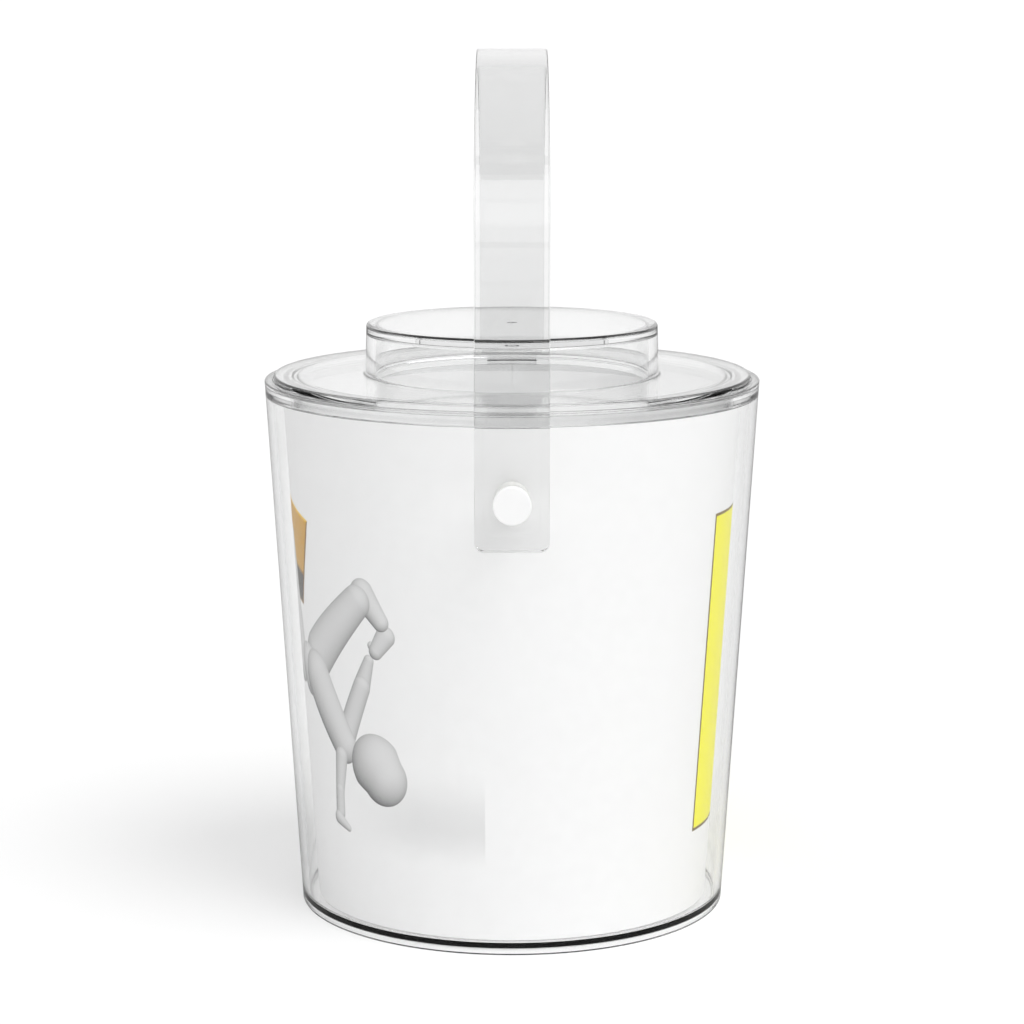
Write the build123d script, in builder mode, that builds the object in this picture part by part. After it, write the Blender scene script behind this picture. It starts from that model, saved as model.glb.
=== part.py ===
from build123d import *
import math
import os

# Clear double-wall ice bucket with a printed card between its walls, a lift-off lid with a
# hollow raised grip, and a flat-strip bail handle on two pivots.
# Millimetres. +Z is up, the origin is the centre of the foot on the table, and the
# handle's legs stand at the front (-Y) and the rear (+Y).

# ---- Driving dimensions ---------------------------------------------------------------

# Tapered outer face of the bucket
foot_radius = 77.3
rim_radius = 89.0
rim_height = 192.0

# Outer shell
shell_wall = 2.6
foot_ring_height = 2.1
shell_floor_thickness = 1.8
foot_edge_radius = 0.4
shell_floor_corner_radius = 1.2

# Rim flange of the inner liner, which caps the shell
flange_height = 5.0
lip_width = 3.0
lid_seat_depth = 1.6
lip_edge_radius = 0.5

# Space between the walls and the card in it
air_gap = 3.6
card_thickness = 0.45
card_slack = 0.05
card_floor_clearance = 0.1
card_top_clearance = 0.6
card_seam_width = 0.5
card_seam_angle = 180.0

# Inner liner
liner_wall = 2.0
liner_floor_thickness = 2.6
liner_floor_gap = 3.5
liner_inner_corner_radius = 8.0
flange_root_radius = 0.5

# Lid
lid_plate_thickness = 3.5
lid_edge_clearance = 0.4
lid_edge_radius = 0.6
skirt_depth = 6.0
skirt_thickness = 2.0
skirt_clearance = 0.85
grip_radius = 52.8
grip_draft = 0.5
grip_height = 18.1
grip_wall = 3.3
grip_top_edge_radius = 1.3
grip_root_radius = 0.8
grip_inner_edge_radius = 1.0

# Handle: a bent strip, straight legs under a three-centred arch
strip_width = 25.0
strip_thickness = 6.0
leg_rim_clearance = 6.0
hand_room = 91.2
crown_radius = 135.0
shoulder_radius = 42.0
leg_end_below_pivot = 16.0
leg_corner_radius = 3.0
strip_edge_radius = 0.5

# Pivots
pivot_below_rim = 29.0
pin_diameter = 6.0
pin_running_clearance = 0.08
pin_seat_clearance = 0.03
pin_head_diameter = 11.0
pin_head_thickness = 1.4
spacer_diameter = 12.0
washer_diameter = 12.4
washer_thickness = 0.8
leg_side_clearance = 0.1
seat_clearance = 0.05
cap_diameter = 13.0
cap_thickness = 2.4
cap_edge_radius = 0.6
cap_bore_depth = 1.5

# ---- Sizes that follow from them ------------------------------------------------------

shell_top_height = rim_height - flange_height
shell_floor_height = foot_ring_height + shell_floor_thickness
card_inset = shell_wall + air_gap
liner_inset = card_inset + card_thickness + card_slack
well_inset = liner_inset + liner_wall
liner_bottom_height = shell_floor_height + liner_floor_gap
well_floor_height = liner_bottom_height + liner_floor_thickness
lid_seat_height = rim_height - lid_seat_depth
lip_inner_radius = rim_radius - lip_width
lid_top_height = lid_seat_height + lid_plate_thickness
lid_radius = lip_inner_radius - lid_edge_clearance
grip_top_radius = grip_radius - grip_draft
grip_top_height = lid_top_height + grip_height
leg_inner = rim_radius + leg_rim_clearance
leg_outer = leg_inner + strip_thickness
handle_top_height = grip_top_height + hand_room + strip_thickness
pivot_height = rim_height - pivot_below_rim
leg_end_height = pivot_height - leg_end_below_pivot
spacer_outer = leg_inner - leg_side_clearance - washer_thickness
cap_inner = leg_outer + leg_side_clearance
pin_end = cap_inner + cap_bore_depth

# Planes that face outwards at the two pivots
side_planes = {
    "front": Plane(origin=(0, 0, 0), x_dir=(1, 0, 0), z_dir=(0, -1, 0)),
    "rear": Plane(origin=(0, 0, 0), x_dir=(-1, 0, 0), z_dir=(0, 1, 0)),
}


def wall_radius(height, inset=0.0):
    """Radius of the taper at a height, a given distance inside the bucket's outer face."""
    taper = (rim_radius - foot_radius) / rim_height
    return foot_radius + taper * height - inset


def corners_at(sketch, *points):
    """The sketch's corners that lie at the given (radius, height) points."""
    found = []
    for radius, height in points:
        target = Vector(radius, 0, height)
        found.append(sketch.vertices().sort_by(lambda v: (Vector(v) - target).length)[0])
    return found


def finish_part(part, name):
    """Names a piece and writes its STEP file."""
    part.label = name
    export_step(part, f"parts/{name}.step")


# ---- Bucket ---------------------------------------------------------------------------

def make_outer_shell():
    foot_inner_radius = wall_radius(0, shell_wall)
    recess_radius = wall_radius(foot_ring_height, shell_wall)
    floor_radius = wall_radius(shell_floor_height, shell_wall)
    with BuildPart() as outer_shell:
        with BuildSketch(Plane.XZ) as profile:
            with BuildLine():
                Polyline(
                    (foot_inner_radius, 0),
                    (wall_radius(0), 0),
                    (wall_radius(shell_top_height), shell_top_height),
                    (wall_radius(shell_top_height, shell_wall), shell_top_height),
                    (floor_radius, shell_floor_height),
                    (0, shell_floor_height),
                    (0, foot_ring_height),
                    (recess_radius, foot_ring_height),
                    close=True,
                )
            make_face()
            foot_corners = corners_at(profile.sketch, (wall_radius(0), 0), (foot_inner_radius, 0))
            fillet(foot_corners, radius=min(foot_edge_radius, shell_wall / 3))
            floor_corner = corners_at(profile.sketch, (floor_radius, shell_floor_height))
            fillet(floor_corner, radius=shell_floor_corner_radius)
        revolve(axis=Axis.Z)
        # holes for the two pivot pins
        with BuildSketch(Plane.XZ):
            with Locations((0, pivot_height)):
                Circle(pin_diameter / 2 + pin_seat_clearance)
        extrude(amount=rim_radius, both=True, mode=Mode.SUBTRACT)
    finish_part(outer_shell.part, "outer_shell")


def make_inner_liner():
    wall_foot = (wall_radius(liner_bottom_height, liner_inset), liner_bottom_height)
    wall_top = (wall_radius(shell_top_height, liner_inset), shell_top_height)
    well_foot = (wall_radius(well_floor_height, well_inset), well_floor_height)
    lip_outer_top = (rim_radius, rim_height)
    lip_inner_top = (lip_inner_radius, rim_height)
    with BuildPart() as inner_liner:
        with BuildSketch(Plane.XZ) as profile:
            with BuildLine():
                Polyline(
                    (0, liner_bottom_height),
                    wall_foot,
                    wall_top,
                    (wall_radius(shell_top_height), shell_top_height),
                    lip_outer_top,
                    lip_inner_top,
                    (lip_inner_radius, lid_seat_height),
                    (wall_radius(lid_seat_height, well_inset), lid_seat_height),
                    well_foot,
                    (0, well_floor_height),
                    close=True,
                )
            make_face()
            fillet(corners_at(profile.sketch, lip_outer_top, lip_inner_top), radius=lip_edge_radius)
            fillet(corners_at(profile.sketch, wall_top), radius=flange_root_radius)
            fillet(corners_at(profile.sketch, well_foot), radius=liner_inner_corner_radius)
            outer_corner_radius = liner_inner_corner_radius + liner_wall
            fillet(corners_at(profile.sketch, wall_foot), radius=outer_corner_radius)
        revolve(axis=Axis.Z)
    finish_part(inner_liner.part, "inner_liner")


def make_printed_card():
    bottom = shell_floor_height + card_floor_clearance
    top = shell_top_height - card_top_clearance
    card_inner_inset = card_inset + card_thickness
    seam_plane = Plane.XY.offset(bottom).rotated((0, 0, card_seam_angle))
    with BuildPart() as printed_card:
        with BuildSketch(Plane.XZ):
            with BuildLine():
                Polyline(
                    (wall_radius(bottom, card_inner_inset), bottom),
                    (wall_radius(bottom, card_inset), bottom),
                    (wall_radius(top, card_inset), top),
                    (wall_radius(top, card_inner_inset), top),
                    close=True,
                )
            make_face()
        revolve(axis=Axis.Z)
        # the two ends of the rolled card meet here, a hair apart
        with BuildSketch(seam_plane):
            with Locations((0, -rim_radius / 2)):
                Rectangle(card_seam_width, rim_radius)
        extrude(amount=top - bottom, mode=Mode.SUBTRACT)
    finish_part(printed_card.part, "printed_card")


# ---- Lid ------------------------------------------------------------------------------

def make_lid():
    skirt_bottom = lid_seat_height - skirt_depth
    skirt_outer = wall_radius(skirt_bottom, well_inset) - skirt_clearance
    skirt_inner = skirt_outer - skirt_thickness
    hollow_base = (grip_radius - grip_wall, lid_seat_height)
    hollow_top = (grip_top_radius - grip_wall, grip_top_height - grip_wall)
    with BuildPart() as lid:
        with BuildSketch(Plane.XZ) as profile:
            with BuildLine():
                Polyline(
                    hollow_base,
                    (skirt_inner, lid_seat_height),
                    (skirt_inner, skirt_bottom),
                    (skirt_outer, skirt_bottom),
                    (skirt_outer, lid_seat_height),
                    (lid_radius, lid_seat_height),
                    (lid_radius, lid_top_height),
                    (grip_radius, lid_top_height),
                    (grip_top_radius, grip_top_height),
                    (0, grip_top_height),
                    (0, hollow_top[1]),
                    hollow_top,
                    close=True,
                )
            make_face()
            plate_edge = corners_at(profile.sketch, (lid_radius, lid_top_height))
            fillet(plate_edge, radius=lid_edge_radius)
            grip_edge = corners_at(profile.sketch, (grip_top_radius, grip_top_height))
            fillet(grip_edge, radius=grip_top_edge_radius)
            grip_root = corners_at(profile.sketch, (grip_radius, lid_top_height))
            fillet(grip_root, radius=grip_root_radius)
            fillet(corners_at(profile.sketch, hollow_top), radius=grip_inner_edge_radius)
            skirt_tips = corners_at(
                profile.sketch, (skirt_inner, skirt_bottom), (skirt_outer, skirt_bottom)
            )
            fillet(skirt_tips, radius=skirt_thickness / 4)
        revolve(axis=Axis.Z)
    finish_part(lid.part, "lid")


# ---- Handle ---------------------------------------------------------------------------

def arch_outline(inset):
    """Closed outline of the arch and its legs, inset from the strip's outer face."""
    half_span = leg_outer - inset
    crown = crown_radius - inset
    shoulder = shoulder_radius - inset
    shoulder_side = leg_outer - shoulder_radius
    crown_to_shoulder = crown_radius - shoulder_radius
    shoulder_rise = math.sqrt(crown_to_shoulder**2 - shoulder_side**2)
    crown_centre_height = handle_top_height - crown_radius
    shoulder_height = crown_centre_height + shoulder_rise
    turn = math.degrees(math.atan2(shoulder_rise, shoulder_side))
    with BuildLine(mode=Mode.PRIVATE) as outline:
        Line((half_span, leg_end_height), (half_span, shoulder_height))
        CenterArc((shoulder_side, shoulder_height), shoulder, 0, turn)
        CenterArc((0, crown_centre_height), crown, turn, 180 - 2 * turn)
        CenterArc((-shoulder_side, shoulder_height), shoulder, 180 - turn, turn)
        Line((-half_span, shoulder_height), (-half_span, leg_end_height))
        Line((-half_span, leg_end_height), (half_span, leg_end_height))
    return outline.line


def make_handle():
    with BuildPart() as handle:
        with BuildSketch(Plane.YZ):
            make_face(arch_outline(0).edges())
            make_face(arch_outline(strip_thickness).edges(), mode=Mode.SUBTRACT)
        extrude(amount=strip_width / 2, both=True)
        leg_corners = handle.edges().filter_by(Axis.Y).group_by(Axis.Z)[0]
        fillet(leg_corners, radius=leg_corner_radius)
        side_faces = handle.faces().filter_by(Axis.X)
        strip_edges = side_faces.edges().filter_by(Axis.Y, reverse=True)
        fillet(strip_edges, radius=strip_edge_radius)
        with BuildSketch(Plane.XZ):
            with Locations((0, pivot_height)):
                Circle(pin_diameter / 2 + pin_running_clearance)
        extrude(amount=leg_outer, both=True, mode=Mode.SUBTRACT)
    finish_part(handle.part, "handle")


# ---- Pivots ---------------------------------------------------------------------------

def make_pivot_pin(side):
    """Pin with a flat head behind the shell's wall, shaped to sit against its inner face."""
    plane = side_planes[side]
    head_inner = wall_radius(pivot_height, shell_wall) - pin_head_thickness
    with BuildPart() as pivot_pin:
        with BuildSketch(plane.offset(head_inner)):
            with Locations((0, pivot_height)):
                Circle(pin_head_diameter / 2)
        extrude(amount=shell_wall)
        with BuildSketch(Plane.XZ):
            with BuildLine():
                Polyline(
                    (0, 0),
                    (wall_radius(0, shell_wall + seat_clearance), 0),
                    (wall_radius(rim_height, shell_wall + seat_clearance), rim_height),
                    (0, rim_height),
                    close=True,
                )
            make_face()
        revolve(axis=Axis.Z, mode=Mode.INTERSECT)
        with BuildSketch(plane.offset(head_inner)):
            with Locations((0, pivot_height)):
                Circle(pin_diameter / 2)
        extrude(amount=pin_end - head_inner)
    finish_part(pivot_pin.part, f"{side}_pivot_pin")


def make_spacer(side):
    """Bush that fills the wedge between the sloping wall and the upright leg."""
    plane = side_planes[side]
    with BuildPart() as spacer:
        with BuildSketch(plane.offset(wall_radius(pivot_height) - shell_wall)):
            with Locations((0, pivot_height)):
                Circle(spacer_diameter / 2)
        extrude(amount=spacer_outer - wall_radius(pivot_height) + shell_wall)
        with BuildSketch(Plane.XZ):
            with BuildLine():
                Polyline(
                    (0, 0),
                    (wall_radius(0) + seat_clearance, 0),
                    (wall_radius(rim_height) + seat_clearance, rim_height),
                    (0, rim_height),
                    close=True,
                )
            make_face()
        revolve(axis=Axis.Z, mode=Mode.SUBTRACT)
        with BuildSketch(plane):
            with Locations((0, pivot_height)):
                Circle(pin_diameter / 2 + pin_seat_clearance)
        extrude(amount=leg_outer, mode=Mode.SUBTRACT)
    finish_part(spacer.part, f"{side}_spacer")


def make_washer(side):
    """Thin friction washer between the spacer and the leg."""
    with BuildPart() as washer:
        with BuildSketch(side_planes[side].offset(spacer_outer)):
            with Locations((0, pivot_height)):
                Circle(washer_diameter / 2)
                Circle(pin_diameter / 2 + pin_seat_clearance, mode=Mode.SUBTRACT)
        extrude(amount=washer_thickness)
    finish_part(washer.part, f"{side}_washer")


def make_pivot_cap(side):
    """Flat round cap pushed on to the pin's outer end."""
    plane = side_planes[side]
    with BuildPart() as pivot_cap:
        with BuildSketch(plane.offset(cap_inner)):
            with Locations((0, pivot_height)):
                Circle(cap_diameter / 2)
        extrude(amount=cap_thickness)
        outer_face = pivot_cap.faces().sort_by(lambda f: plane.to_local_coords(f.center()).Z)[-1]
        fillet(outer_face.edges(), radius=cap_edge_radius)
        with BuildSketch(plane.offset(cap_inner)):
            with Locations((0, pivot_height)):
                Circle(pin_diameter / 2 + pin_seat_clearance)
        extrude(amount=cap_bore_depth, mode=Mode.SUBTRACT)
    finish_part(pivot_cap.part, f"{side}_pivot_cap")


make_outer_shell()
make_inner_liner()
make_printed_card()
make_lid()
make_handle()
for side in side_planes:
    make_pivot_pin(side)
    make_spacer(side)
    make_washer(side)
    make_pivot_cap(side)
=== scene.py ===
import math

import bmesh
import bpy
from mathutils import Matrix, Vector


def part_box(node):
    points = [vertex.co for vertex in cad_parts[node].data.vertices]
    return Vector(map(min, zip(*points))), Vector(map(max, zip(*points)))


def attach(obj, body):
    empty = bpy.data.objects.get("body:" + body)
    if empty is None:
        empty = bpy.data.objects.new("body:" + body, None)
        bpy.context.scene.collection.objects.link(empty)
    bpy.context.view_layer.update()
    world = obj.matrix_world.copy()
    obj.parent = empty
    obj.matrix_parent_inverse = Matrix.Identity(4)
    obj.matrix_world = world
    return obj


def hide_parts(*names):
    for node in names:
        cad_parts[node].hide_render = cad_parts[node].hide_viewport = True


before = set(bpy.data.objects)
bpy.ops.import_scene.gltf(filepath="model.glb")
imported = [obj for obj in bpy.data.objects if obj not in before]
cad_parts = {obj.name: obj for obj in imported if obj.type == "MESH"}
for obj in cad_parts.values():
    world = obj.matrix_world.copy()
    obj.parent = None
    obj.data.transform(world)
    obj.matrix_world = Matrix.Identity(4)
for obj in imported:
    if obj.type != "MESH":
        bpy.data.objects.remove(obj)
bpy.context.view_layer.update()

MM = 0.001

# ---- Sizes read from the frame, and the walls and edges behind them (metres) --------------

_, shell_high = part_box("outer_shell")
liner_low, liner_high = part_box("inner_liner")
lid_low, lid_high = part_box("lid")
card_low, card_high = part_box("printed_card")
handle_low, handle_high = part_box("handle")
pin_low, pin_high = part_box("front_pivot_pin")

rim_radius = liner_high.x
rim_height = liner_high.z
foot_radius = 77.3 * MM
seam_height = shell_high.z
pivot_height = (pin_low.z + pin_high.z) / 2

shell_wall = 2.6 * MM
shell_floor_low = 2.1 * MM
shell_floor_high = 3.9 * MM
card_inset = 6.2 * MM
card_thickness = 0.45 * MM
liner_inset = 6.7 * MM
well_inset = 8.7 * MM
liner_floor_low = liner_low.z
liner_floor_thickness = 2.6 * MM
well_floor = liner_low.z + liner_floor_thickness
lip_inner_radius = rim_radius - 3.0 * MM
lid_seat = rim_height - 1.6 * MM
lid_plate_top = lid_seat + 3.5 * MM
joint_gap = 0.06 * MM
strip_thickness = 6.0 * MM
strip_corner = 3.0 * MM
pin_hole_radius = 3.08 * MM


def wall_radius(height, inset=0.0):
    """Radius of the bucket's taper at a height, a given distance inside its outer face."""
    return foot_radius + (rim_radius - foot_radius) * height / rim_height - inset


# ---- Mesh making --------------------------------------------------------------------------

LATHE_STEPS = 288
EDGE_SUPPORT = 0.08 * MM


def rounded_outline(corners, arc_steps=6):
    """A closed (radius, height) outline: each corner is (radius, height, rounding). Each straight
    run gets a point close to both its ends, which keeps its shading flat up to the rounding."""
    bends = []
    count = len(corners)
    for i, (r, z, rounding) in enumerate(corners):
        here = Vector((r, z))
        if rounding <= 0:
            bends.append([here])
            continue
        before = (Vector(corners[i - 1][:2]) - here).normalized()
        after = (Vector(corners[(i + 1) % count][:2]) - here).normalized()
        half_angle = before.angle(after) / 2
        reach = rounding / math.tan(half_angle)
        centre = here + (before + after).normalized() * (rounding / math.sin(half_angle))
        first = (here + before * reach - centre).normalized()
        last = (here + after * reach - centre).normalized()
        shares = [step / arc_steps for step in range(arc_steps + 1)]
        bends.append([centre + first.slerp(last, share) * rounding for share in shares])
    points = []
    for bend, following in zip(bends, bends[1:] + bends[:1]):
        points += bend
        run = following[0] - bend[-1]
        if run.length > 4 * EDGE_SUPPORT:
            points.append(bend[-1] + run.normalized() * EDGE_SUPPORT)
            points.append(following[0] - run.normalized() * EDGE_SUPPORT)
    return points


def new_piece(name, mesh_builder, sharp_degrees=32):
    """Makes an object from a bmesh and shades it smooth, with its real edges kept crisp."""
    mesh = bpy.data.meshes.new(name)
    bmesh.ops.recalc_face_normals(mesh_builder, faces=mesh_builder.faces)
    mesh_builder.to_mesh(mesh)
    mesh_builder.free()
    mesh.shade_smooth()
    mesh.set_sharp_from_angle(angle=math.radians(sharp_degrees))
    piece = bpy.data.objects.new(name, mesh)
    bpy.context.scene.collection.objects.link(piece)
    return piece


def lathe(name, corners, arc_steps=6, steps=LATHE_STEPS, sharp_degrees=32):
    """Turns a closed outline about the bucket's axis. Corners on the axis close the middle."""
    outline = rounded_outline(corners, arc_steps)
    builder = bmesh.new()
    rings = []
    for point in outline:
        if point.x < 1e-7:
            rings.append([builder.verts.new((0, 0, point.y))])
            continue
        ring = []
        for step in range(steps):
            angle = 2 * math.pi * step / steps
            x, y = point.x * math.cos(angle), point.x * math.sin(angle)
            ring.append(builder.verts.new((x, y, point.y)))
        rings.append(ring)
    for i, ring in enumerate(rings):
        following = rings[(i + 1) % len(rings)]
        if len(ring) == 1 and len(following) == 1:
            continue
        for step in range(steps):
            nxt = (step + 1) % steps
            if len(ring) == 1:
                builder.faces.new((ring[0], following[step], following[nxt]))
            elif len(following) == 1:
                builder.faces.new((ring[step], ring[nxt], following[0]))
            else:
                builder.faces.new((ring[step], ring[nxt], following[nxt], following[step]))
    return new_piece(name, builder, sharp_degrees)


# ---- Node helpers -------------------------------------------------------------------------

def new_group(name, inputs, outputs):
    group = bpy.data.node_groups.new(name, "ShaderNodeTree")
    for label, kind, value in inputs:
        socket = group.interface.new_socket(label, in_out="INPUT", socket_type=kind)
        if value is not None:
            socket.default_value = value
    for label, kind in outputs:
        group.interface.new_socket(label, in_out="OUTPUT", socket_type=kind)
    start = group.nodes.new("NodeGroupInput")
    end = group.nodes.new("NodeGroupOutput")
    return group, start, end


def connect(tree, value, socket):
    """Puts a plain value on a socket, or links another node's output to it."""
    if isinstance(value, bpy.types.NodeSocket):
        tree.links.new(value, socket)
    else:
        socket.default_value = value


def maths(tree, operation, a, b=0.0, c=None, clamp=False):
    node = tree.nodes.new("ShaderNodeMath")
    node.operation = operation
    node.use_clamp = clamp
    connect(tree, a, node.inputs[0])
    connect(tree, b, node.inputs[1])
    if c is not None:
        connect(tree, c, node.inputs[2])
    return node.outputs[0]


def vector_maths(tree, operation, a, b=(0, 0, 0), scale=None):
    node = tree.nodes.new("ShaderNodeVectorMath")
    node.operation = operation
    connect(tree, a, node.inputs[0])
    if operation != "NORMALIZE" and operation != "LENGTH":
        connect(tree, b, node.inputs[1])
    if scale is not None:
        connect(tree, scale, node.inputs["Scale"])
    return node.outputs["Value"] if operation in ("DOT_PRODUCT", "LENGTH") else node.outputs["Vector"]


def mix_colour(tree, factor, a, b):
    node = tree.nodes.new("ShaderNodeMix")
    node.data_type = "RGBA"
    connect(tree, factor, node.inputs[0])
    connect(tree, a, node.inputs[6])
    connect(tree, b, node.inputs[7])
    return node.outputs[2]


def ramp_between(tree, value, low, high, out_low=0.0, out_high=1.0, smooth=True):
    node = tree.nodes.new("ShaderNodeMapRange")
    node.interpolation_type = "SMOOTHSTEP" if smooth else "LINEAR"
    connect(tree, value, node.inputs["Value"])
    limits = {"From Min": low, "From Max": high, "To Min": out_low, "To Max": out_high}
    for label, number in limits.items():
        connect(tree, number, node.inputs[label])
    return node.outputs["Result"]


def noise(tree, vector, scale, detail=3.0):
    node = tree.nodes.new("ShaderNodeTexNoise")
    connect(tree, vector, node.inputs["Vector"])
    node.inputs["Scale"].default_value = scale
    node.inputs["Detail"].default_value = detail
    return node.outputs["Fac"]


def place_group(tree, group, **values):
    node = tree.nodes.new("ShaderNodeGroup")
    node.node_tree = group
    for label, value in values.items():
        connect(tree, value, node.inputs[label.replace("_", " ")])
    return node


def new_material(name):
    material = bpy.data.materials.new(name)
    material.use_nodes = True
    tree = material.node_tree
    return material, tree, tree.nodes["Principled BSDF"], tree.nodes["Material Output"]


# ---- Shared effects -----------------------------------------------------------------------

def make_handling_marks():
    """Faint smears and fine scratches that handling leaves on polished plastic."""
    group, start, end = new_group(
        "handling_marks",
        [
            ("Vector", "NodeSocketVector", None),
            ("Base Roughness", "NodeSocketFloat", 0.02),
            ("Smear", "NodeSocketFloat", 0.03),
            ("Smear Scale", "NodeSocketFloat", 40.0),
            ("Scratch Scale", "NodeSocketFloat", 900.0),
        ],
        [("Roughness", "NodeSocketFloat"), ("Height", "NodeSocketFloat")],
    )
    smears = group.nodes.new("ShaderNodeTexNoise")
    group.links.new(start.outputs["Vector"], smears.inputs["Vector"])
    group.links.new(start.outputs["Smear Scale"], smears.inputs["Scale"])
    smears.inputs["Detail"].default_value = 4.0
    smear_mask = ramp_between(group, smears.outputs["Fac"], 0.52, 0.75)
    extra = maths(group, "MULTIPLY", smear_mask, start.outputs["Smear"])
    roughness = maths(group, "ADD", start.outputs["Base Roughness"], extra, clamp=True)
    scratches = group.nodes.new("ShaderNodeTexNoise")
    group.links.new(start.outputs["Vector"], scratches.inputs["Vector"])
    group.links.new(start.outputs["Scratch Scale"], scratches.inputs["Scale"])
    scratches.inputs["Detail"].default_value = 2.0
    group.links.new(roughness, end.inputs["Roughness"])
    group.links.new(scratches.outputs["Fac"], end.inputs["Height"])
    return group


handling_marks = make_handling_marks()


def make_clear_plastic(name, tint, base_roughness, smear, bump_strength):
    """Polished clear acrylic. Light that only passes through on its way to something else
    is let through unbent, so that what stands behind is lit."""
    material, tree, shader, output = new_material(name)
    place = tree.nodes.new("ShaderNodeTexCoord")
    marks = place_group(
        tree, handling_marks, Vector=place.outputs["Object"], Base_Roughness=base_roughness, Smear=smear
    )
    shader.inputs["Base Color"].default_value = (*tint, 1)
    shader.inputs["Transmission Weight"].default_value = 1.0
    shader.inputs["IOR"].default_value = 1.49
    tree.links.new(marks.outputs["Roughness"], shader.inputs["Roughness"])
    bump = tree.nodes.new("ShaderNodeBump")
    bump.inputs["Strength"].default_value = bump_strength
    bump.inputs["Distance"].default_value = 0.00002
    tree.links.new(marks.outputs["Height"], bump.inputs["Height"])
    tree.links.new(bump.outputs["Normal"], shader.inputs["Normal"])
    see_through = tree.nodes.new("ShaderNodeBsdfTransparent")
    see_through.inputs["Color"].default_value = (1, 1, 1, 1)
    rays = tree.nodes.new("ShaderNodeLightPath")
    mix = tree.nodes.new("ShaderNodeMixShader")
    passing = maths(tree, "MAXIMUM", rays.outputs["Is Shadow Ray"], rays.outputs["Is Diffuse Ray"])
    tree.links.new(passing, mix.inputs["Fac"])
    tree.links.new(shader.outputs["BSDF"], mix.inputs[1])
    tree.links.new(see_through.outputs["BSDF"], mix.inputs[2])
    tree.links.new(mix.outputs["Shader"], output.inputs["Surface"])
    return material


def make_white_plastic(name, colour, roughness, grain_scale, coat=0.0):
    """Moulded white plastic with a fine mould grain."""
    material, tree, shader, output = new_material(name)
    place = tree.nodes.new("ShaderNodeTexCoord")
    marks = place_group(
        tree, handling_marks, Vector=place.outputs["Object"], Base_Roughness=roughness,
        Smear=0.08, Scratch_Scale=grain_scale,
    )
    cloud = noise(tree, place.outputs["Object"], 120.0)
    shade = ramp_between(tree, cloud, 0.3, 0.7, 0.0, 1.0)
    darker = tuple(c * 0.985 for c in colour)
    tree.links.new(mix_colour(tree, shade, (*darker, 1), (*colour, 1)), shader.inputs["Base Color"])
    tree.links.new(marks.outputs["Roughness"], shader.inputs["Roughness"])
    shader.inputs["Coat Weight"].default_value = coat
    bump = tree.nodes.new("ShaderNodeBump")
    bump.inputs["Strength"].default_value = 0.08
    bump.inputs["Distance"].default_value = 0.00003
    tree.links.new(marks.outputs["Height"], bump.inputs["Height"])
    tree.links.new(bump.outputs["Normal"], shader.inputs["Normal"])
    return material


# ---- The printed card ---------------------------------------------------------------------
# The picture is laid out in millimetres on the rolled card: across from the middle of the
# front, and up from the table.

picture_radius = 76.2
PRINT_EDGE = (-0.08, 0.18)
BEVEL_SOFTNESS = 0.15

# Limbs of the jointed figure, from the back to the front of the picture: start, end, and the
# radius at each
figure_limbs = [
    ((-108.0, 136.0), (-101.5, 92.0), 6.0, 8.0),    # far leg
    ((-52.5, 101.0), (-56.5, 91.0), 2.3, 4.0),      # raised forearm
    ((-56.5, 91.0), (-65.0, 73.5), 4.0, 4.8),       # raised upper arm
    ((-51.2, 106.8), (-49.6, 104.2), 1.5, 1.9),     # raised hand
    ((-44.9, 110.6), (-49.2, 104.8), 4.0, 3.0),     # near foot
    ((-54.2, 125.0), (-46.7, 115.6), 5.4, 3.5),     # near shin
    ((-82.0, 98.0), (-57.0, 121.5), 9.4, 6.2),      # near thigh
    ((-92.0, 93.0), (-90.0, 89.0), 8.0, 7.5),       # hip
    ((-84.0, 90.0), (-67.2, 68.0), 9.8, 6.8),       # trunk
    ((-69.6, 63.5), (-71.8, 50.5), 3.6, 2.7),       # standing upper arm
    ((-71.8, 50.5), (-72.3, 42.5), 2.7, 2.9),       # standing forearm
    ((-73.6, 40.2), (-67.6, 37.3), 2.7, 1.4),       # standing hand
    ((-51.6, 62.9), (-48.4, 59.0), 11.9, 10.2),       # head
]


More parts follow.
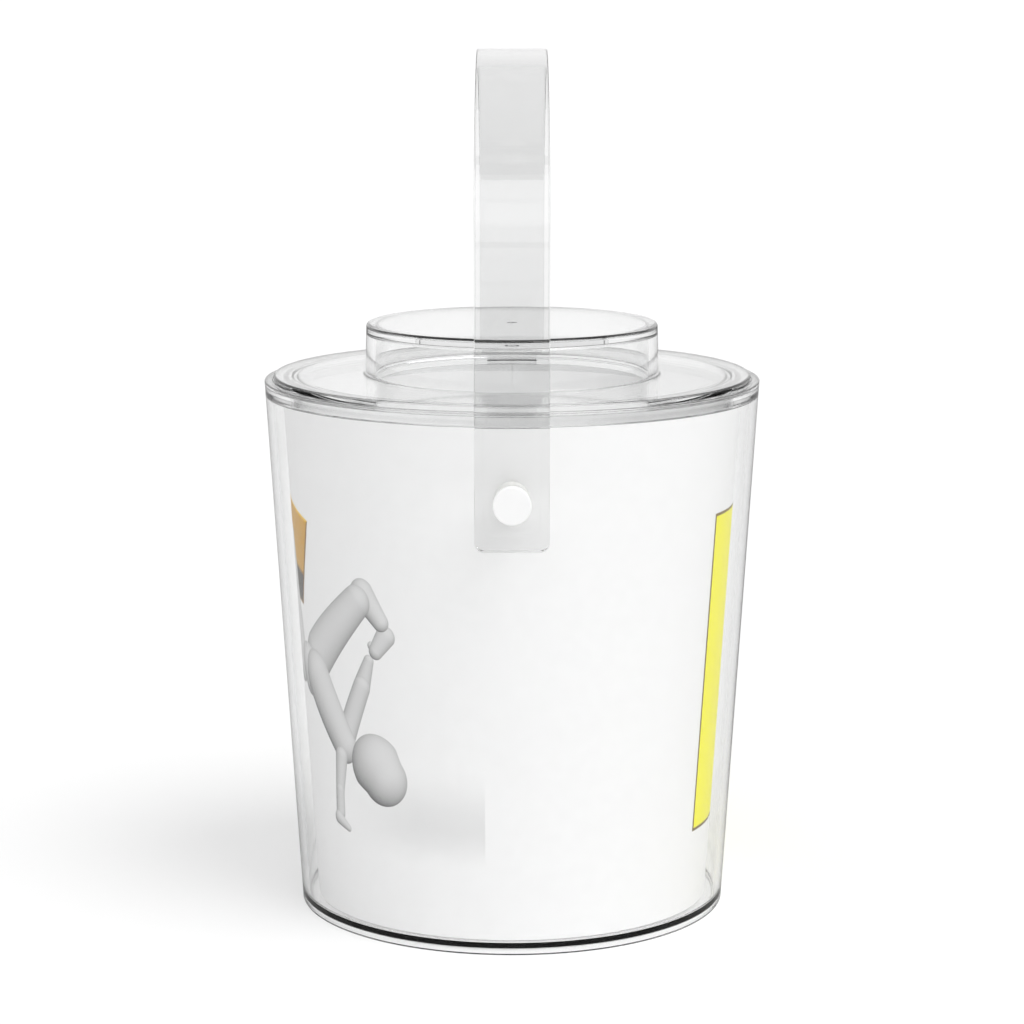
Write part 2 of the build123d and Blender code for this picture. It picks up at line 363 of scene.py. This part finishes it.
def make_limb_group():
    """Paints one rounded, tapered limb over the colour under it."""
    group, start, end = new_group(
        "painted_limb",
        [
            ("Under", "NodeSocketColor", None),
            ("Place", "NodeSocketVector", None),
            ("Start", "NodeSocketVector", None),
            ("End", "NodeSocketVector", None),
            ("Start Radius", "NodeSocketFloat", 1.0),
            ("End Radius", "NodeSocketFloat", 1.0),
        ],
        [("Color", "NodeSocketColor")],
    )
    from_start = vector_maths(group, "SUBTRACT", start.outputs["Place"], start.outputs["Start"])
    along = vector_maths(group, "SUBTRACT", start.outputs["End"], start.outputs["Start"])
    reach = vector_maths(group, "DOT_PRODUCT", from_start, along)
    length_squared = vector_maths(group, "DOT_PRODUCT", along, along)
    share = maths(group, "DIVIDE", reach, length_squared, clamp=True)
    axis_point = vector_maths(group, "SCALE", along, scale=share)
    offset = vector_maths(group, "SUBTRACT", from_start, axis_point)
    distance = vector_maths(group, "LENGTH", offset)
    radius = ramp_between(
        group, share, 0.0, 1.0, start.outputs["Start Radius"], start.outputs["End Radius"], smooth=False
    )
    depth_in = maths(group, "SUBTRACT", radius, distance)
    mask = ramp_between(group, depth_in, *PRINT_EDGE)
    ratio = maths(group, "DIVIDE", distance, radius, clamp=True)
    ratio_squared = maths(group, "MULTIPLY", ratio, ratio)
    facing = maths(group, "SQRT", maths(group, "SUBTRACT", 1.0, ratio_squared, clamp=True))
    light_side = vector_maths(group, "DOT_PRODUCT", offset, (0.30, 0.48, 0.0))
    sideways = maths(group, "DIVIDE", light_side, radius)
    lit = maths(group, "MULTIPLY_ADD", facing, 0.95, sideways)
    tone = ramp_between(group, lit, -0.35, 1.15, 0.10, 0.80, smooth=False)
    grey = group.nodes.new("ShaderNodeCombineColor")
    for channel in ("Red", "Green", "Blue"):
        group.links.new(tone, grey.inputs[channel])
    painted = mix_colour(group, mask, start.outputs["Under"], grey.outputs["Color"])
    group.links.new(painted, end.inputs["Color"])
    return group


def make_panel_group():
    """Paints an upright, leaning panel with a narrow bevel all round over the colour under it."""
    group, start, end = new_group(
        "painted_panel",
        [
            ("Under", "NodeSocketColor", None),
            ("Place", "NodeSocketVector", None),
            ("Centre", "NodeSocketVector", None),
            ("Half Width", "NodeSocketFloat", 10.0),
            ("Half Height", "NodeSocketFloat", 10.0),
            ("Lean", "NodeSocketFloat", 0.0),
            ("Fall", "NodeSocketFloat", 0.0),
            ("Bevel", "NodeSocketFloat", 1.5),
            ("Face", "NodeSocketColor", (1, 0.9, 0.1, 1)),
            ("Bright Edge", "NodeSocketColor", (1, 0.9, 0.4, 1)),
            ("Dark Edge", "NodeSocketColor", (0.1, 0.05, 0.0, 1)),
        ],
        [("Color", "NodeSocketColor")],
    )
    from_centre = vector_maths(group, "SUBTRACT", start.outputs["Place"], start.outputs["Centre"])
    parts = group.nodes.new("ShaderNodeSeparateXYZ")
    group.links.new(from_centre, parts.inputs[0])
    across_raw, up_raw = parts.outputs[0], parts.outputs[1]
    leaning = maths(group, "MULTIPLY", up_raw, start.outputs["Lean"])
    falling = maths(group, "MULTIPLY", across_raw, start.outputs["Fall"])
    across = maths(group, "SUBTRACT", across_raw, leaning)
    up = maths(group, "SUBTRACT", up_raw, falling)
    side_depth = maths(group, "SUBTRACT", start.outputs["Half Width"], maths(group, "ABSOLUTE", across))
    end_depth = maths(group, "SUBTRACT", start.outputs["Half Height"], maths(group, "ABSOLUTE", up))
    depth = maths(group, "MINIMUM", side_depth, end_depth)
    mask = ramp_between(group, depth, *PRINT_EDGE)
    bevel_start = maths(group, "SUBTRACT", start.outputs["Bevel"], BEVEL_SOFTNESS)
    bevel_end = maths(group, "ADD", start.outputs["Bevel"], BEVEL_SOFTNESS)
    on_bevel = ramp_between(group, depth, bevel_start, bevel_end, 1.0, 0.0)
    nearer_end = maths(group, "LESS_THAN", end_depth, side_depth)
    above = maths(group, "GREATER_THAN", up, 0.0)
    bright = maths(group, "MULTIPLY", nearer_end, above)
    edge = mix_colour(group, bright, start.outputs["Dark Edge"], start.outputs["Bright Edge"])
    face = mix_colour(group, on_bevel, start.outputs["Face"], edge)
    group.links.new(mix_colour(group, mask, start.outputs["Under"], face), end.inputs["Color"])
    return group


def make_card_material():
    material, tree, shader, output = new_material("printed_card_stock")
    place = tree.nodes.new("ShaderNodeTexCoord")
    parts = tree.nodes.new("ShaderNodeSeparateXYZ")
    tree.links.new(place.outputs["Object"], parts.inputs[0])
    turn = maths(tree, "ARCTAN2", parts.outputs["X"], maths(tree, "MULTIPLY", parts.outputs["Y"], -1.0))
    across = maths(tree, "MULTIPLY", turn, picture_radius)
    up = maths(tree, "MULTIPLY", parts.outputs["Z"], 1000.0)
    spot = tree.nodes.new("ShaderNodeCombineXYZ")
    tree.links.new(across, spot.inputs["X"])
    tree.links.new(up, spot.inputs["Y"])
    picture = spot.outputs["Vector"]

    # white stock with the faintest cloudiness of its fibres
    fibres = noise(tree, place.outputs["Object"], 260.0, 5.0)
    cloudiness = ramp_between(tree, fibres, 0.35, 0.65)
    paper = mix_colour(tree, cloudiness, (0.94, 0.94, 0.94, 1), (0.955, 0.955, 0.955, 1))

    # soft ground shadow under the figure, which the picture's right edge cuts off
    low = ramp_between(tree, up, 28.0, 44.0)
    high = ramp_between(tree, up, 44.0, 66.0, 1.0, 0.0)
    near = ramp_between(tree, across, -70.0, -30.0)
    cut = ramp_between(tree, across, -9.7, -9.3, 1.0, 0.0)
    band = maths(tree, "MULTIPLY", low, high)
    stretch = maths(tree, "MULTIPLY", near, cut)
    shadow = maths(tree, "MULTIPLY", maths(tree, "MULTIPLY", band, stretch), 0.22)
    colour = mix_colour(tree, shadow, paper, (0.30, 0.30, 0.30, 1))

    panel = make_panel_group()
    # three yellow panels, from the right side round to the rear
    for middle in (98.0, 148.0, 198.0):
        node = place_group(
            tree, panel, Under=colour, Place=picture, Centre=(middle, 91.0, 0),
            Half_Width=17.0, Half_Height=58.0, Lean=0.016, Bevel=1.1,
            Face=(1.0, 0.95, 0.0, 1), Bright_Edge=(0.20, 0.13, 0.01, 1), Dark_Edge=(0.16, 0.10, 0.01, 1),
        )
        colour = node.outputs["Color"]
    # the gold panel, and its dark thickness showing below it
    dark = (0.03, 0.015, 0.0, 1)
    for centre, half_height, face, bright in (
        ((-104.4, 132.0, 0), 15.0, dark, dark),
        ((-102.3, 139.6, 0), 11.5, (0.66, 0.34, 0.0, 1), (0.95, 0.60, 0.02, 1)),
    ):
        node = place_group(
            tree, panel, Under=colour, Place=picture, Centre=centre,
            Half_Width=17.0, Half_Height=half_height, Lean=0.31, Fall=-0.26, Bevel=1.0,
            Face=face, Bright_Edge=bright, Dark_Edge=(0.25, 0.12, 0.0, 1),
        )
        colour = node.outputs["Color"]

    limb = make_limb_group()
    for first, last, first_radius, last_radius in figure_limbs:
        node = place_group(
            tree, limb, Under=colour, Place=picture, Start=(*first, 0), End=(*last, 0),
            Start_Radius=first_radius, End_Radius=last_radius,
        )
        colour = node.outputs["Color"]
    flat_place = vector_maths(tree, "MULTIPLY", place.outputs["Object"], (1, 1, 0))
    radius = vector_maths(tree, "LENGTH", flat_place)
    mid_card = wall_radius(0, card_inset + card_thickness / 2)
    taper = (rim_radius - foot_radius) / rim_height
    card_middle = maths(tree, "MULTIPLY_ADD", parts.outputs["Z"], taper, mid_card)
    printed_side = maths(tree, "GREATER_THAN", radius, card_middle)
    tree.links.new(mix_colour(tree, printed_side, paper, colour), shader.inputs["Base Color"])
    tree.links.new(ramp_between(tree, fibres, 0.3, 0.7, 0.55, 0.62), shader.inputs["Roughness"])
    shader.inputs["Specular IOR Level"].default_value = 0.1
    bump = tree.nodes.new("ShaderNodeBump")
    bump.inputs["Strength"].default_value = 0.05
    bump.inputs["Distance"].default_value = 0.00002
    tree.links.new(noise(tree, place.outputs["Object"], 2200.0), bump.inputs["Height"])
    tree.links.new(bump.outputs["Normal"], shader.inputs["Normal"])
    return material


# ---- Bucket -------------------------------------------------------------------------------

def make_outer_shell(material):
    top = seam_height - joint_gap
    corners = [
        (0, shell_floor_low, 0),
        (wall_radius(shell_floor_low, shell_wall), shell_floor_low, 0.3 * MM),
        (wall_radius(0, shell_wall), 0, 0.4 * MM),
        (wall_radius(0), 0, 0.4 * MM),
        (wall_radius(top), top, 0.15 * MM),
        (wall_radius(top, shell_wall), top, 0.15 * MM),
        (wall_radius(shell_floor_high, shell_wall), shell_floor_high, 1.2 * MM),
        (0, shell_floor_high, 0),
    ]
    piece = lathe("clear_outer_shell", corners)
    piece.data.materials.append(material)
    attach(piece, "bucket")
    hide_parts("outer_shell")
    return piece


def make_inner_liner(material):
    corners = [
        (0, liner_floor_low, 0),
        (wall_radius(liner_floor_low, liner_inset), liner_floor_low, 10 * MM),
        (wall_radius(seam_height, liner_inset), seam_height, 0.5 * MM),
        (wall_radius(seam_height), seam_height, 0.15 * MM),
        (rim_radius, rim_height, 0.5 * MM),
        (lip_inner_radius, rim_height, 0.5 * MM),
        (lip_inner_radius, lid_seat, 0.2 * MM),
        (wall_radius(lid_seat, well_inset), lid_seat, 0.4 * MM),
        (wall_radius(well_floor, well_inset), well_floor, 8 * MM),
        (0, well_floor, 0),
    ]
    piece = lathe("clear_inner_liner", corners)
    piece.data.materials.append(material)
    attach(piece, "bucket")
    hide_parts("inner_liner")
    return piece


def make_lid(material):
    skirt_low = lid_low.z
    skirt_clearance, skirt_wall = 0.85 * MM, 2.0 * MM
    skirt_outer = wall_radius(skirt_low, well_inset) - skirt_clearance
    skirt_inner = skirt_outer - skirt_wall
    grip_base, grip_top, grip_wall = 52.8 * MM, 52.3 * MM, 3.3 * MM
    under = lid_seat + joint_gap
    gate_radius, gate_floor_radius, gate_depth = 1.8 * MM, 1.65 * MM, 0.22 * MM
    corners = [
        (grip_base - grip_wall, under, 0.5 * MM),
        (skirt_inner, under, 0.3 * MM),
        (skirt_inner, skirt_low, 0.5 * MM),
        (skirt_outer, skirt_low, 0.5 * MM),
        (skirt_outer, under, 0.3 * MM),
        (lid_high.x, under, 0.3 * MM),
        (lid_high.x, lid_plate_top, 0.6 * MM),
        (grip_base, lid_plate_top, 0.8 * MM),
        (grip_top, lid_high.z, 1.3 * MM),
        (gate_radius, lid_high.z, 0.08 * MM),
        (gate_floor_radius, lid_high.z - gate_depth, 0.08 * MM),
        (0, lid_high.z - gate_depth, 0),
        (0, lid_high.z - grip_wall, 0),
        (grip_top - grip_wall, lid_high.z - grip_wall, 1.0 * MM),
    ]
    piece = lathe("clear_lid", corners)
    piece.data.materials.append(material)
    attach(piece, "lid")
    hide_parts("lid")
    return piece


def make_printed_card(material):
    low, high = card_low.z, card_high.z
    inner_inset = card_inset + card_thickness
    section = ((inner_inset, low), (card_inset, low), (card_inset, high), (inner_inset, high))
    builder = bmesh.new()
    seam_angle = math.radians(90)
    seam_half = 0.05 * MM / card_high.x
    rings = []
    for step in range(LATHE_STEPS + 1):
        angle = seam_angle + seam_half + (2 * math.pi - 2 * seam_half) * step / LATHE_STEPS
        ring = []
        for inset, height in section:
            radius = wall_radius(height, inset)
            ring.append(builder.verts.new((radius * math.cos(angle), radius * math.sin(angle), height)))
        rings.append(ring)
    for here, after in zip(rings, rings[1:]):
        for i in range(4):
            j = (i + 1) % 4
            builder.faces.new((here[i], here[j], after[j], after[i]))
    builder.faces.new(rings[0])
    builder.faces.new(rings[-1])
    piece = new_piece("rolled_printed_card", builder)
    piece.data.materials.append(material)
    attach(piece, "bucket")
    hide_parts("printed_card")
    return piece


# ---- Handle -------------------------------------------------------------------------------

def arch_path(points_per_arc=48):
    """Middle line of the bent strip in the YZ plane, from the front leg's end to the rear
    leg's end, with the outward direction at each point."""
    half_span = handle_high.y - strip_thickness / 2
    crown = 135 * MM - strip_thickness / 2
    shoulder = 42 * MM - strip_thickness / 2
    top = handle_high.z - strip_thickness / 2
    side = half_span - shoulder
    rise = math.sqrt((crown - shoulder) ** 2 - side**2)
    crown_centre = top - crown
    shoulder_height = crown_centre + rise
    turn = math.atan2(rise, side)
    path = []
    leg_steps = 24
    low = handle_low.z
    corner_steps = 8
    corner_top = low + strip_corner
    straight = shoulder_height - corner_top
    leg_heights = [
        low + strip_corner * (1 - math.cos(math.pi / 2 * i / corner_steps)) for i in range(corner_steps + 1)
    ]
    leg_heights += [corner_top + straight * i / leg_steps for i in range(1, leg_steps)]
    for height in leg_heights:
        path.append(((half_span, height), (1, 0)))
    for i in range(points_per_arc + 1):
        a = turn * i / points_per_arc
        out_y, out_z = math.cos(a), math.sin(a)
        path.append(((side + shoulder * out_y, shoulder_height + shoulder * out_z), (out_y, out_z)))
    for i in range(1, points_per_arc):
        a = turn + (math.pi / 2 - turn) * i / points_per_arc
        out_y, out_z = math.cos(a), math.sin(a)
        path.append(((crown * out_y, crown_centre + crown * out_z), (out_y, out_z)))
    path.append(((0, top), (0, 1)))
    rear = [((-y, z), (-ny, nz)) for (y, z), (ny, nz) in reversed(path[:-1])]
    return path + rear


def strip_section(half_width, half_thick, edge):
    """Outline of the strip across its length, as (across, outward) from its middle. Its edges
    are rounded, and a point close to each rounding keeps the flats' shading flat."""
    def moved(point, distance, degrees):
        a = math.radians(degrees)
        return point[0] + distance * math.cos(a), point[1] + distance * math.sin(a)

    arc_steps = 4
    points = []
    for turn, (side, face) in enumerate(((1, 1), (-1, 1), (-1, -1), (1, -1))):
        centre = (side * (half_width - edge), face * (half_thick - edge))
        arc = [moved(centre, edge, 90 * turn + 90 * step / arc_steps) for step in range(arc_steps + 1)]
        points.append(moved(arc[0], EDGE_SUPPORT, 90 * turn - 90))
        points += arc
        points.append(moved(arc[-1], EDGE_SUPPORT, 90 * turn + 180))
    return points


def make_handle(material):
    half_width = (handle_high.x - handle_low.x) / 2
    edge = 0.5 * MM
    corner_top = handle_low.z + strip_corner
    builder = bmesh.new()
    rings = []
    for (y, z), (ny, nz) in arch_path():
        narrowing = 0.0
        if z < corner_top:
            narrowing = strip_corner - math.sqrt(max(0.0, strip_corner**2 - (corner_top - z) ** 2))
        width = half_width - narrowing
        ring = []
        for x, n in strip_section(width, strip_thickness / 2, edge):
            ring.append(builder.verts.new((x, y + ny * n, z + nz * n)))
        rings.append(ring)
    for here, after in zip(rings, rings[1:]):
        for i in range(len(here)):
            j = (i + 1) % len(here)
            builder.faces.new((here[i], here[j], after[j], after[i]))
    builder.faces.new(rings[0])
    builder.faces.new(rings[-1])
    piece = new_piece("clear_handle_strip", builder)
    drill = bpy.data.meshes.new("pin_hole_drill")
    hole = bmesh.new()
    reach = 300 * MM
    bmesh.ops.create_cone(
        hole, cap_ends=True, segments=64, radius1=pin_hole_radius, radius2=pin_hole_radius, depth=reach
    )
    hole.to_mesh(drill)
    hole.free()
    cutter = bpy.data.objects.new("pin_hole_drill", drill)
    cutter.rotation_euler = (math.pi / 2, 0, 0)
    cutter.location = (0, 0, pivot_height)
    bpy.context.scene.collection.objects.link(cutter)
    cut = piece.modifiers.new("pin_holes", "BOOLEAN")
    cut.operation = "DIFFERENCE"
    cut.object = cutter
    cut.solver = "EXACT"
    bpy.context.view_layer.update()
    drilled = bpy.data.meshes.new_from_object(piece.evaluated_get(bpy.context.evaluated_depsgraph_get()))
    piece.modifiers.clear()
    piece.data = drilled
    piece.data.set_sharp_from_angle(angle=math.radians(32))
    bpy.data.objects.remove(cutter)
    piece.data.materials.clear()
    piece.data.materials.append(material)
    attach(piece, "handle")
    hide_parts("handle")
    return piece


# ---- Build --------------------------------------------------------------------------------

clear_acrylic = make_clear_plastic("clear_acrylic", (0.948, 0.95, 0.95), 0.0, 0.02, 0.02)
clear_liner = make_clear_plastic("clear_liner_acrylic", (0.973, 0.975, 0.975), 0.0, 0.02, 0.02)
clear_lid = make_clear_plastic("clear_lid_acrylic", (0.963, 0.965, 0.965), 0.0, 0.02, 0.02)
clear_handle = make_clear_plastic("clear_handle_acrylic", (0.893, 0.895, 0.895), 0.0, 0.03, 0.02)
white_cap = make_white_plastic("white_cap_plastic", (0.93, 0.93, 0.93), 0.35, 1500.0, 0.2)
white_nylon = make_white_plastic("white_nylon", (0.86, 0.86, 0.84), 0.5, 900.0)
card_stock = make_card_material()

make_outer_shell(clear_acrylic)
make_inner_liner(clear_liner)
make_lid(clear_lid)
make_printed_card(card_stock)
make_handle(clear_handle)

small_pieces = {
    "pivot_pin": white_nylon, "spacer": white_nylon, "washer": white_nylon, "pivot_cap": white_cap
}
for side in ("front", "rear"):
    for node, material in small_pieces.items():
        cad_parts[f"{side}_{node}"].material_slots[0].material = material

# ---- Stage, light and camera --------------------------------------------------------------

FLOOR_HALF_SIZE = 60.0
LOW_FRONT_LIGHT = 0.18
LOW_BACK_LIGHT = 0.95
UPPER_LIGHT = 0.86
CAMERA_DOWN_DEGREES = 10.2
LIGHT_BOUNCES = 10


def make_stage():
    mesh = bpy.data.meshes.new("studio_floor")
    builder = bmesh.new()
    bmesh.ops.create_grid(builder, x_segments=1, y_segments=1, size=FLOOR_HALF_SIZE)
    builder.to_mesh(mesh)
    builder.free()
    floor = bpy.data.objects.new("studio_floor", mesh)
    bpy.context.scene.collection.objects.link(floor)
    material, tree, shader, output = new_material("studio_floor_white")
    # painted dim reflection: for rays mirrored off the plastic's surface the floor's colour is painted
    # darker, so it doesn't veil what stands behind
    rays = tree.nodes.new("ShaderNodeLightPath")
    glossy, reflected = rays.outputs["Is Glossy Ray"], rays.outputs["Is Reflection Ray"]
    painted_dim_reflection_mask = maths(tree, "MULTIPLY", glossy, reflected)
    # painted dim reflection: floor colour 0.9 where seen directly or lit, 0.32 where mirrored in the
    # plastic
    shade = mix_colour(tree, painted_dim_reflection_mask, (0.9, 0.9, 0.9, 1), (0.32, 0.32, 0.32, 1))
    tree.links.new(shade, shader.inputs["Base Color"])
    shader.inputs["Roughness"].default_value = 0.9
    shader.inputs["Specular IOR Level"].default_value = 0.0
    floor.data.materials.append(material)


def far_softbox(name, towards, half_angle_degrees, brightness):
    """A round softbox so far off that the whole floor gets the same light from it."""
    half_angle = math.radians(half_angle_degrees)
    data = bpy.data.lights.new(name, "SUN")
    data.angle = 2 * half_angle
    data.energy = brightness * math.pi * math.sin(half_angle) ** 2
    lamp = bpy.data.objects.new(name, data)
    lamp.rotation_euler = (-Vector(towards)).to_track_quat("-Z", "Y").to_euler()
    bpy.context.scene.collection.objects.link(lamp)


def make_studio_sky():
    """Plain white studio: bright above and behind, dim low down at the front and the sides."""
    world = bpy.data.worlds.new("studio")
    bpy.context.scene.world = world
    world.use_nodes = True
    tree = world.node_tree
    place = tree.nodes.new("ShaderNodeTexCoord")
    parts = tree.nodes.new("ShaderNodeSeparateXYZ")
    tree.links.new(place.outputs["Generated"], parts.inputs[0])
    low_light = ramp_between(tree, parts.outputs["Y"], 0.55, 0.80, LOW_FRONT_LIGHT, LOW_BACK_LIGHT)
    raised = ramp_between(tree, parts.outputs["Z"], 0.30, 0.45)
    mix = tree.nodes.new("ShaderNodeMix")
    mix.data_type = "FLOAT"
    tree.links.new(raised, mix.inputs[0])
    tree.links.new(low_light, mix.inputs[2])
    mix.inputs[3].default_value = UPPER_LIGHT
    background = tree.nodes["Background"]
    background.inputs["Color"].default_value = (1, 1, 1, 1)
    # straight on, the backdrop is as white as the floor, so no horizon shows behind the bucket
    rays = tree.nodes.new("ShaderNodeLightPath")
    seen = tree.nodes.new("ShaderNodeMix")
    seen.data_type = "FLOAT"
    tree.links.new(rays.outputs["Is Camera Ray"], seen.inputs[0])
    tree.links.new(mix.outputs[0], seen.inputs[2])
    seen.inputs[3].default_value = 1.0
    tree.links.new(seen.outputs[0], background.inputs["Strength"])


make_stage()
make_studio_sky()
far_softbox("key_softbox", (0.45, -0.31, 0.84), 18, 3.0)
far_softbox("front_fill", (0.20, -0.78, 0.60), 34, 0.71)

camera_data = bpy.data.cameras.new("camera")
camera_data.sensor_width = 36.0
camera_data.lens = 109.6
camera = bpy.data.objects.new("camera", camera_data)
camera.location = (0, -1.1151, 0.3432)
camera.rotation_euler = (math.radians(90 - CAMERA_DOWN_DEGREES), 0, 0)
bpy.context.scene.collection.objects.link(camera)
bpy.context.scene.camera = camera
bpy.context.scene.view_settings.view_transform = "Standard"

# light crosses several faces of clear plastic, and passes to and fro inside the white card.
# Light that only runs along inside an edge dies out first, which draws the edges dark.
light_paths = bpy.context.scene.cycles
light_paths.max_bounces = LIGHT_BOUNCES
light_paths.diffuse_bounces = LIGHT_BOUNCES
light_paths.glossy_bounces = LIGHT_BOUNCES
light_paths.transmission_bounces = LIGHT_BOUNCES
light_paths.transparent_max_bounces = 32
